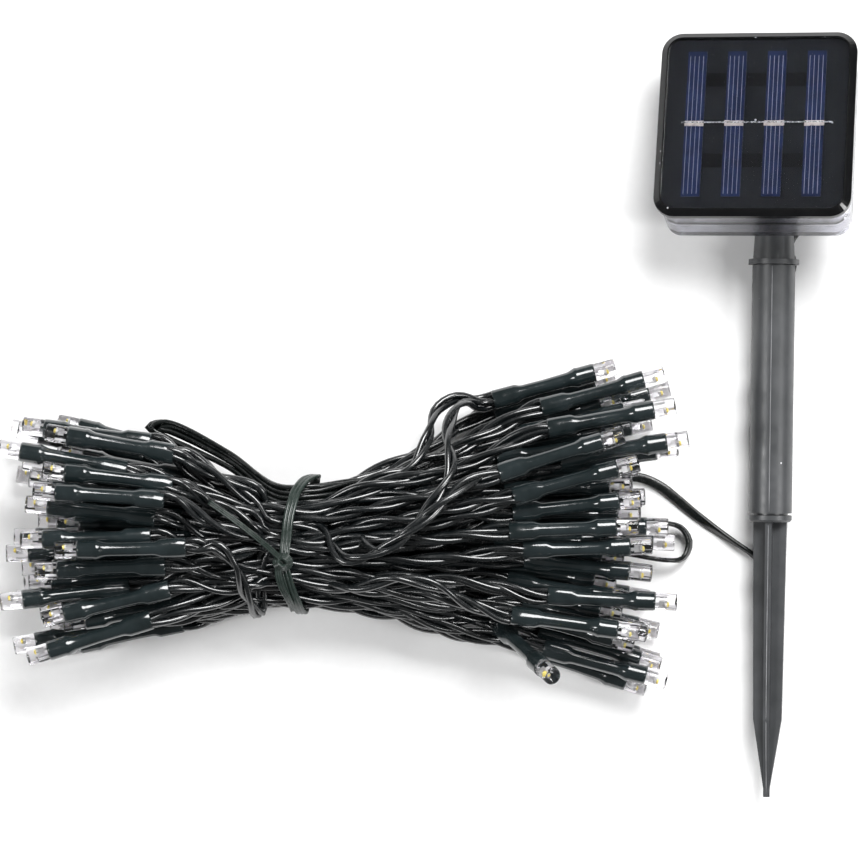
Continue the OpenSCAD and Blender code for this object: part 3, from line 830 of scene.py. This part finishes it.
def make_lead(lights, last_light, material):
    """The flat lead, rolled about its own line as its control points say."""
    line = smooth_line(lead_points(lights, last_light), LEAD_STEP)
    line, roll = line[:, :3], np.clip(line[:, 3], 0, 1)
    line[:, 2] = np.maximum(line[:, 2], FLOOR_Z + LEAD_T / 2 + 0.5 * (LEAD_W - LEAD_T) * roll)
    t = headings(line)
    level = np.cross(t, UP)
    level /= np.linalg.norm(level, axis=1)[:, None]
    upright = np.cross(level, t)
    angle = (roll * math.pi / 2)[:, None]
    across = np.cos(angle) * level + np.sin(angle) * upright
    over = np.cross(t, across)
    build = Build()
    sweep(build, line, across, over, flat_twin_outline())
    lead = build.done("lead")
    paint(lead, material)
    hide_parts("lead_cable", "lead_hank")
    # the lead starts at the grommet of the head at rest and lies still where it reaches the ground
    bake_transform(lead)
    return lead, line


# ---------------------------------------------------------------- the lights
def round_ring(start, run, across, over, z, rx, ry, sides):
    """A ring of points at a distance z along a light."""
    a = np.arange(sides) * 2 * math.pi / sides
    return start + z * run + np.outer(rx * np.cos(a), across) + np.outer(ry * np.sin(a), over)


# A sleeve from its wire end to the lens: [along, half width, half height]
SLEEVE_OUTSIDE = [
    (3.5, 1.9, 1.3), (0.4, 2.35, 1.55), (0, 2.62, 1.8), (0.3, 2.8, 1.98), (3, 2.8, 2.0), (6.6, 2.78, 2.04),
    (7.2, 2.62, 2.06), (8.2, 2.14, 2.02), (9.0, 2.02, 1.98), (15, 1.98, 1.98), (20.8, 2.02, 2.02),
    (22.4, 2.14, 2.14), (23.6, 2.55, 2.55), (24.4, 2.84, 2.84), (24.8, 2.86, 2.86), (25.3, 2.74, 2.74),
    (29.5, 2.72, 2.72), (30, 2.62, 2.62), (29.9, 2.5, 2.5),
]
# A lens from its seat to its hollow nose: [along, radius]
LENS_OUTSIDE = [
    (26.8, 0.6), (26.8, 2.2), (27.2, 2.48), (30.6, 2.48), (30.9, 2.48), (35.4, 2.46), (35.9, 2.36),
    (36.0, 2.2), (35.9, 2.0), (35.55, 1.1), (35.4, 0.4),
]


# The reflector cup and the yellow die in it: [along, radius]
CUP = [(32.5, 0.45), (32.7, 0.65), (33.2, 0.8), (33.2, 0.7), (33.0, 0.45)]
DIE = [(32.95, 0.36), (33.4, 0.52), (33.7, 0.45), (33.85, 0.2)]
CUP_ASIDE = -0.6
# The metal of a lens: the centre and size of each box, as [across, over, along]
POSTS = [
    ((-0.6, 0, 29.4), (0.45, 0.4, 3.2)),
    ((-0.5, 0, 31.8), (1.3, 0.5, 1.6)),
    ((1.0, 0, 30.6), (0.5, 0.4, 5.2)),
]


def members(lights, group):
    """The numbers of the lights in a group."""
    size = len(lights) // GROUPS
    return range(group * size, (group + 1) * size)


def sleeve_ring(place, i, z, rx, ry):
    """One ring of a sleeve: its middle part is shrunk on unevenly, and its wide ends aren't."""
    start, run, across, over = place
    uneven = 1 if 9 < z < 22 else 0.3
    shrink = 1 + 0.025 * math.sin(z * 0.6 + 6 * chance(i, 7)) * uneven
    bend = 0.25 * math.sin(math.pi * z / SLEEVE_L) * either(i, 8)
    return round_ring(start + bend * across, run, across, over, z, rx * shrink, ry * shrink, 18)


def make_sleeves(lights, group, material):
    build = Build()
    for i in members(lights, group):
        place = light_frame(i, lights)
        build.rings([sleeve_ring(place, i, z, rx, ry) for z, rx, ry in SLEEVE_OUTSIDE])
    sleeves = build.done(f"sleeves_{group + 1}")
    paint(sleeves, material)
    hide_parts(f"led_sleeves_{group + 1}")
    return sleeves


def make_lenses(lights, group, material):
    build = Build()
    for i in members(lights, group):
        place = light_frame(i, lights)
        build.rings([round_ring(*place, z, r, r, 20) for z, r in LENS_OUTSIDE])
    lenses = build.done(f"lenses_{group + 1}")
    paint(lenses, material)
    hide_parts(f"led_lenses_{group + 1}")
    return lenses


def box_at(build, place, centre, size):
    """A small box in a light's frame."""
    start, run, across, over = place
    c = start + centre[0] * across + centre[1] * over + centre[2] * run
    x, y, z = size[0] / 2 * across, size[1] / 2 * over, size[2] / 2 * run
    corners = [c + i * x + j * y + k * z for k in (-1, 1) for i, j in ((-1, -1), (1, -1), (1, 1), (-1, 1))]
    build.add(corners, [(3, 2, 1, 0), (4, 5, 6, 7), (0, 1, 5, 4), (1, 2, 6, 5), (2, 3, 7, 6), (3, 0, 4, 7)])


def make_frames(lights, group, metal, phosphor):
    """The lead frame with its reflector cup, and the yellow die in the cup."""
    frames, dies = Build(), Build()
    for i in members(lights, group):
        place = light_frame(i, lights)
        for centre, size in POSTS:
            box_at(frames, place, centre, size)
        start, run, across, over = place
        seat = start + CUP_ASIDE * across
        frames.rings([round_ring(seat, run, across, over, z, r, r, 12) for z, r in CUP])
        dies.rings([round_ring(seat, run, across, over, z, r, r, 10) for z, r in DIE])
    made = []
    for build, name, material in ((frames, "frames", metal), (dies, "dies", phosphor)):
        thing = build.done(f"{name}_{group + 1}", smooth=False)
        paint(thing, material)
        made.append(thing)
    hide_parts(f"led_frames_{group + 1}")
    return made


# ---------------------------------------------------------------- the tie
BAND_T = 0.8
RIBS = 3
RIB_H = 0.3


def ribbed_outline(width):
    """A flat band with round ribs on its outer face, as [across, over] points."""
    outline = []
    pitch = width / RIBS
    for k in range(RIBS):
        for a in (180, 140, 90, 40):
            t = math.radians(a)
            side = -width / 2 + pitch * (k + 0.5) + pitch / 2 * math.cos(t)
            outline.append((side, BAND_T * 0.45 + RIB_H * math.sin(t)))
    outline.append((width / 2, BAND_T * 0.45))
    outline += [(width / 2, -BAND_T * 0.4), (0, -BAND_T * 0.5), (-width / 2, -BAND_T * 0.4)]
    return np.array(outline)[::-1]


# How far the tie leans from a straight ring at each angle round the waist; +Y is 0 and the top is 90
TIE_LEAN = [
    (0, 6), (20, 3), (40, 0.7), (65, -0.9), (95, -1.9), (106, -2.2), (125, -0.6), (150, 1.6), (180, 2.8),
    (270, 4.4), (360, 6),
]
RING_W, TAIL_W, SHORT_W, KNOT_W = 2.9, 1.5, 1.9, 1.5
TAIL_STEP = 0.8
KNOT_ANGLE = 104
KNOT_LEAN = -2.3
# The loose ends from the knot, and the knot's turns as [radius, height]
LONG_TAIL = [(1.0, -0.8, 0.4), (-1.0, 1.4, 1.5), (-5, 5, 2.6), (-12, 10.5, 3.4), (-20.5, 16.5, 3.6)]
SHORT_TAIL = [(0.3, 1.2, 0.7), (-1.2, -1.6, 0.9), (-0.6, -6, -0.6), (1.6, -10.5, -4.6), (2.8, -13.6, -9.6)]
KNOT_TURNS = ((2.0, 0.9), (1.3, 1.7))


def band(build, line, outward, width):
    """A ribbed band along a line, with its ribs facing outward."""
    t = headings(line)
    side = np.cross(outward, t)
    side /= np.linalg.norm(side, axis=1)[:, None]
    sweep(build, line, side, np.cross(t, side), ribbed_outline(width))


def tie_ring(build):
    angle = np.linspace(0, 360, 97)
    lean = np.interp(angle, *zip(*TIE_LEAN))
    a = np.radians(angle)
    y = (WAIST_HALF[0] + 0.6) * np.cos(a)
    z = (WAIST_HALF[1] + 0.9) * np.sin(a)
    outward = np.stack([0 * y, y / WAIST_HALF[0] ** 2, z / WAIST_HALF[1] ** 2], axis=1)
    band(build, WAIST + np.stack([lean, y, z], axis=1), outward, RING_W)


def tie_end(build, knot_at, shape, outward, width):
    line = smooth_line([knot_at + p for p in shape], TAIL_STEP)
    band(build, line, np.tile(outward, (len(line), 1)), width)


def tie_knot(build, knot_at):
    for radius, rise in KNOT_TURNS:
        a = np.linspace(0, 2 * math.pi, 29)
        turn = [radius * np.cos(a), 0.85 * radius * np.sin(a), rise + 0.5 * np.sin(2 * a)]
        outward = np.stack([np.cos(a), np.sin(a), 0.9 + 0 * a], axis=1)
        band(build, knot_at + np.stack(turn, axis=1), outward, KNOT_W)


def make_tie(material):
    """A band round the waist, a knot near the top, one long loose end and one short one."""
    build = Build()
    tie_ring(build)
    k = math.radians(KNOT_ANGLE)
    knot_at = WAIST + (KNOT_LEAN, (WAIST_HALF[0] + 0.6) * math.cos(k), (WAIST_HALF[1] + 1.4) * math.sin(k))
    tie_end(build, knot_at, LONG_TAIL, UP, TAIL_W)
    tie_end(build, knot_at, SHORT_TAIL, unit((0, -0.6, 1)), SHORT_W)
    tie_knot(build, knot_at)
    tie = build.done("tie")
    paint(tie, material)
    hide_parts("hank_tie")
    return tie


# ---------------------------------------------------------------- the solar head
def plate_in_head(build, centre, size, edge=0.05):
    """A thin plate with softened edges, in the head's frame."""
    x, y, z = (s / 2 for s in size)
    rings = []
    for height, grow in ((-z, edge), (-z + edge, 0), (z - edge, 0), (z, edge)):
        ring = [(i * (x - grow), j * (y - grow), height) for i, j in ((-1, -1), (1, -1), (1, 1), (-1, 1))]
        rings.append(from_head(np.array(ring) + centre))
    build.rings(rings)


def cell_u(i):
    return HEAD_SHIFT + CELL_SHIFT + (i - 1.5) * CELL_PITCH


FINGERS, FINGER_PITCH, FINGER_W = 4, 1.22, 0.13
BLOBS = 5
CELL_TOP = POCKET_W + CELL_T


def make_bed():
    build = Build()
    side = HEAD_W - 2 * RIM
    plate_in_head(build, (HEAD_SHIFT, HEAD_V, POCKET_W + 0.03), (side, side, 0.06), 0.01)
    return build


def make_tape():
    """Strips of tape between the cells, above and below the solder."""
    build = Build()
    for v in (-11.0, 13.2):
        for gap in range(3):
            u = (cell_u(gap) + cell_u(gap + 1)) / 2
            size = (CELL_PITCH - CELL_W - 0.3, 4.2, 0.06)
            plate_in_head(build, (u, HEAD_V + v, POCKET_W + 0.1), size, 0.02)
    return build


def make_fingers():
    """The pale lines along each cell."""
    build = Build()
    for i in range(4):
        for k in range(FINGERS):
            u = cell_u(i) + (k - 1.5) * FINGER_PITCH - 0.15
            plate_in_head(build, (u, HEAD_V - 0.3, CELL_TOP + 0.02), (FINGER_W, CELL_L - 2.2, 0.04), 0.01)
    return build


def make_blobs():
    """The uneven blobs of solder on each cell's tab."""
    build = Build()
    for i in range(4):
        for n in range(BLOBS):
            item = i * BLOBS + n
            u = cell_u(i) + (n - 2) * 1.0 + 0.25 * either(item, 3)
            centre = (u, HEAD_V + 0.15 * either(item, 4), CELL_TOP + 0.2)
            plate_in_head(build, centre, (1.5, 1.1 + 0.5 * chance(item, 6), 0.14), 0.05)
    return build


def make_face(m):
    """What shows under the resin: the black bed, the tape, the finger lines on the cells and the solder."""
    for build, name, key, slot in (
        (make_bed(), "cell_bed", "bed", "tray_black"),
        (make_tape(), "cell_tape", "tape", "tray_black"),
        (make_fingers(), "cell_fingers", "finger", "solder"),
        (make_blobs(), "solder_blobs", "tab", "solder"),
    ):
        thing = build.done(name, smooth=False)
        paint(thing, m[key])
        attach(thing, "head")


# The material of each CAD node that is shown as it is
CAD_FINISH = {
    "panel_tray": "tray", "panel_glaze": "glaze", "solar_cell_1": "cell", "solar_cell_2": "cell",
    "solar_cell_3": "cell", "solar_cell_4": "cell", "cell_tabs": "tab", "tab_wire": "solder",
    "front_shell": "case", "rear_case": "case", "case_gasket": "seam", "case_screws": "steel",
    "circuit_board": "board", "control_chip": "chip", "choke_coil": "copper", "power_switch": "chip",
    "mode_switch": "chip", "power_button": "key", "mode_button": "key", "battery_cell": "battery",
    "battery_contact": "steel", "battery_spring": "steel", "panel_wires": "red", "cable_grommet": "seam",
    "hinge_screw": "steel", "hinge_nut": "steel", "stake_neck": "stake", "stake_tube": "stake",
    "ground_spike": "stake",
}


# A mould line's outline, as [across, over] points
MOULD_LINE = np.array([(0.16, -0.05), (0.1, 0.05), (-0.1, 0.05), (-0.16, -0.05)])


def highlit_mould_line(name, points, material, body):
    """The fine raised line that a mould leaves along a part, in a light colour that paints a highlight on
    it; points run along +Y or -Y.
    """
    line = smooth_line(points, 3.0)
    side = np.repeat([[1.0, 0, 0]], len(line), axis=0)
    up = np.repeat([[0, 0, 1.0]], len(line), axis=0)
    build = Build()
    sweep(build, line, side, up, MOULD_LINE)
    piece = build.done(name)
    paint(piece, material)
    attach(piece, body)


def make_mould_lines(material):
    """One line along the top of the tube, and one along the spike's upper ridge, both in the lighter colour
    that paints a highlight on them.
    """
    top = math.sqrt(TUBE_R ** 2 - 1)
    ends = [(-1, TUBE_START + 0.4, top), (-1, TUBE_END - 0.4, top)]
    # the line's light colour is a painted highlight along the seam
    highlit_mould_line("tube_highlight_line", ends, material, "tube")
    lean = math.radians(STAKE_ROLL)
    ridge = [(-1.5, BLADE_HALF), (-0.7 * SPIKE_L, 0.86 * BLADE_HALF), (-SPIKE_L + 1, 0.9)]
    points = [(-h * math.sin(lean), y, h * math.cos(lean)) for y, h in ridge]
    highlit_mould_line("spike_highlight_line", points, material, "spike")


def shade_cad(name):
    """Smooth shading on round walls, and sharp edges where the shape turns."""
    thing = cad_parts[name]
    for polygon in thing.data.polygons:
        polygon.use_smooth = True
    split = thing.modifiers.new("edges", "EDGE_SPLIT")
    split.split_angle = math.radians(32)


# ---------------------------------------------------------------- floor and light
FLOOR_HALF_M = 4.0


def make_stage():
    """A plain pale floor just under the lowest point of the part."""
    low = cad_box[0][2] - 0.0001
    corners = [(i * FLOOR_HALF_M, j * FLOOR_HALF_M, low) for i, j in ((-1, -1), (1, -1), (1, 1), (-1, 1))]
    mesh = bpy.data.meshes.new("floor")
    mesh.from_pydata(corners, [], [(0, 1, 2, 3)])
    floor = bpy.data.objects.new("floor", mesh)
    bpy.context.scene.collection.objects.link(floor)
    material, nodes, links, shader = new_material("floor_paper")
    grain = noise(nodes, links, 400)
    paper = [(0.3, (0.93, 0.93, 0.93)), (0.7, (0.95, 0.95, 0.95))]
    links.new(ramp(nodes, links, grain.outputs["Fac"], paper), shader.inputs["Base Color"])
    shader.inputs["Roughness"].default_value = 0.9
    shader.inputs["Specular IOR Level"].default_value = 0.1
    paint(floor, material)


def area_light(name, place, target, size, power):
    """A soft box at a place in metres, facing the target; size in metres, power in watts."""
    data = bpy.data.lights.new(name, "AREA")
    data.shape = "RECTANGLE"
    data.size, data.size_y = size
    data.energy = power
    light = bpy.data.objects.new(name, data)
    light.location = place
    light.rotation_euler = (Vector(target) - Vector(place)).to_track_quat("-Z", "Y").to_euler()
    bpy.context.scene.collection.objects.link(light)


def make_light():
    world = bpy.data.worlds.new("studio")
    world.use_nodes = True
    back = world.node_tree.nodes["Background"]
    back.inputs["Color"].default_value = (1, 1, 1, 1)
    back.inputs["Strength"].default_value = 0.14
    bpy.context.scene.world = world
    middle = (-0.09, 0.0, 0)
    area_light("key", (0.22, 0.74, 1.05), middle, (0.7, 0.6), 23)
    area_light("left", (-0.95, -0.10, 0.9), middle, (0.2, 0.5), 7)
    area_light("right", (0.9, -0.20, 0.9), middle, (0.2, 0.5), 7)
    bpy.context.scene.view_settings.view_transform = "Standard"


# ---------------------------------------------------------------- the whole
def first_light(lights, string_line):
    """The light at the right end that the string starts from."""
    rights = range(END_LIGHTS, 2 * END_LIGHTS)
    return min(rights, key=lambda i: np.linalg.norm(lights[i][0] + JOINT_IN * lights[i][1] - string_line[0]))


def make_on_string(lights, m):
    """Everything that goes with the string: the lights and the tie."""
    things = []
    for group in range(GROUPS):
        things += [make_sleeves(lights, group, m["sleeve"]), make_lenses(lights, group, m["lens"])]
        things += make_frames(lights, group, m["frame"], m["die"])
    things.append(make_tie(m["tie"]))
    for thing in things:
        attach(thing, "base")
    return things


def make_cords(m):
    lights = all_lights()
    string, string_line = make_string(lights, m["wire"])
    lead, lead_line = make_lead(lights, first_light(lights, string_line), m["lead"])
    on_string = make_on_string(lights, m)


def finish_cad(m):
    for node, key in CAD_FINISH.items():
        paint(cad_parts[node], m[key])
        shade_cad(node)


make_camera()
materials = make_materials()
make_cords(materials)
make_face(materials)
finish_cad(materials)
make_mould_lines(materials["line"])
make_stage()
make_light()
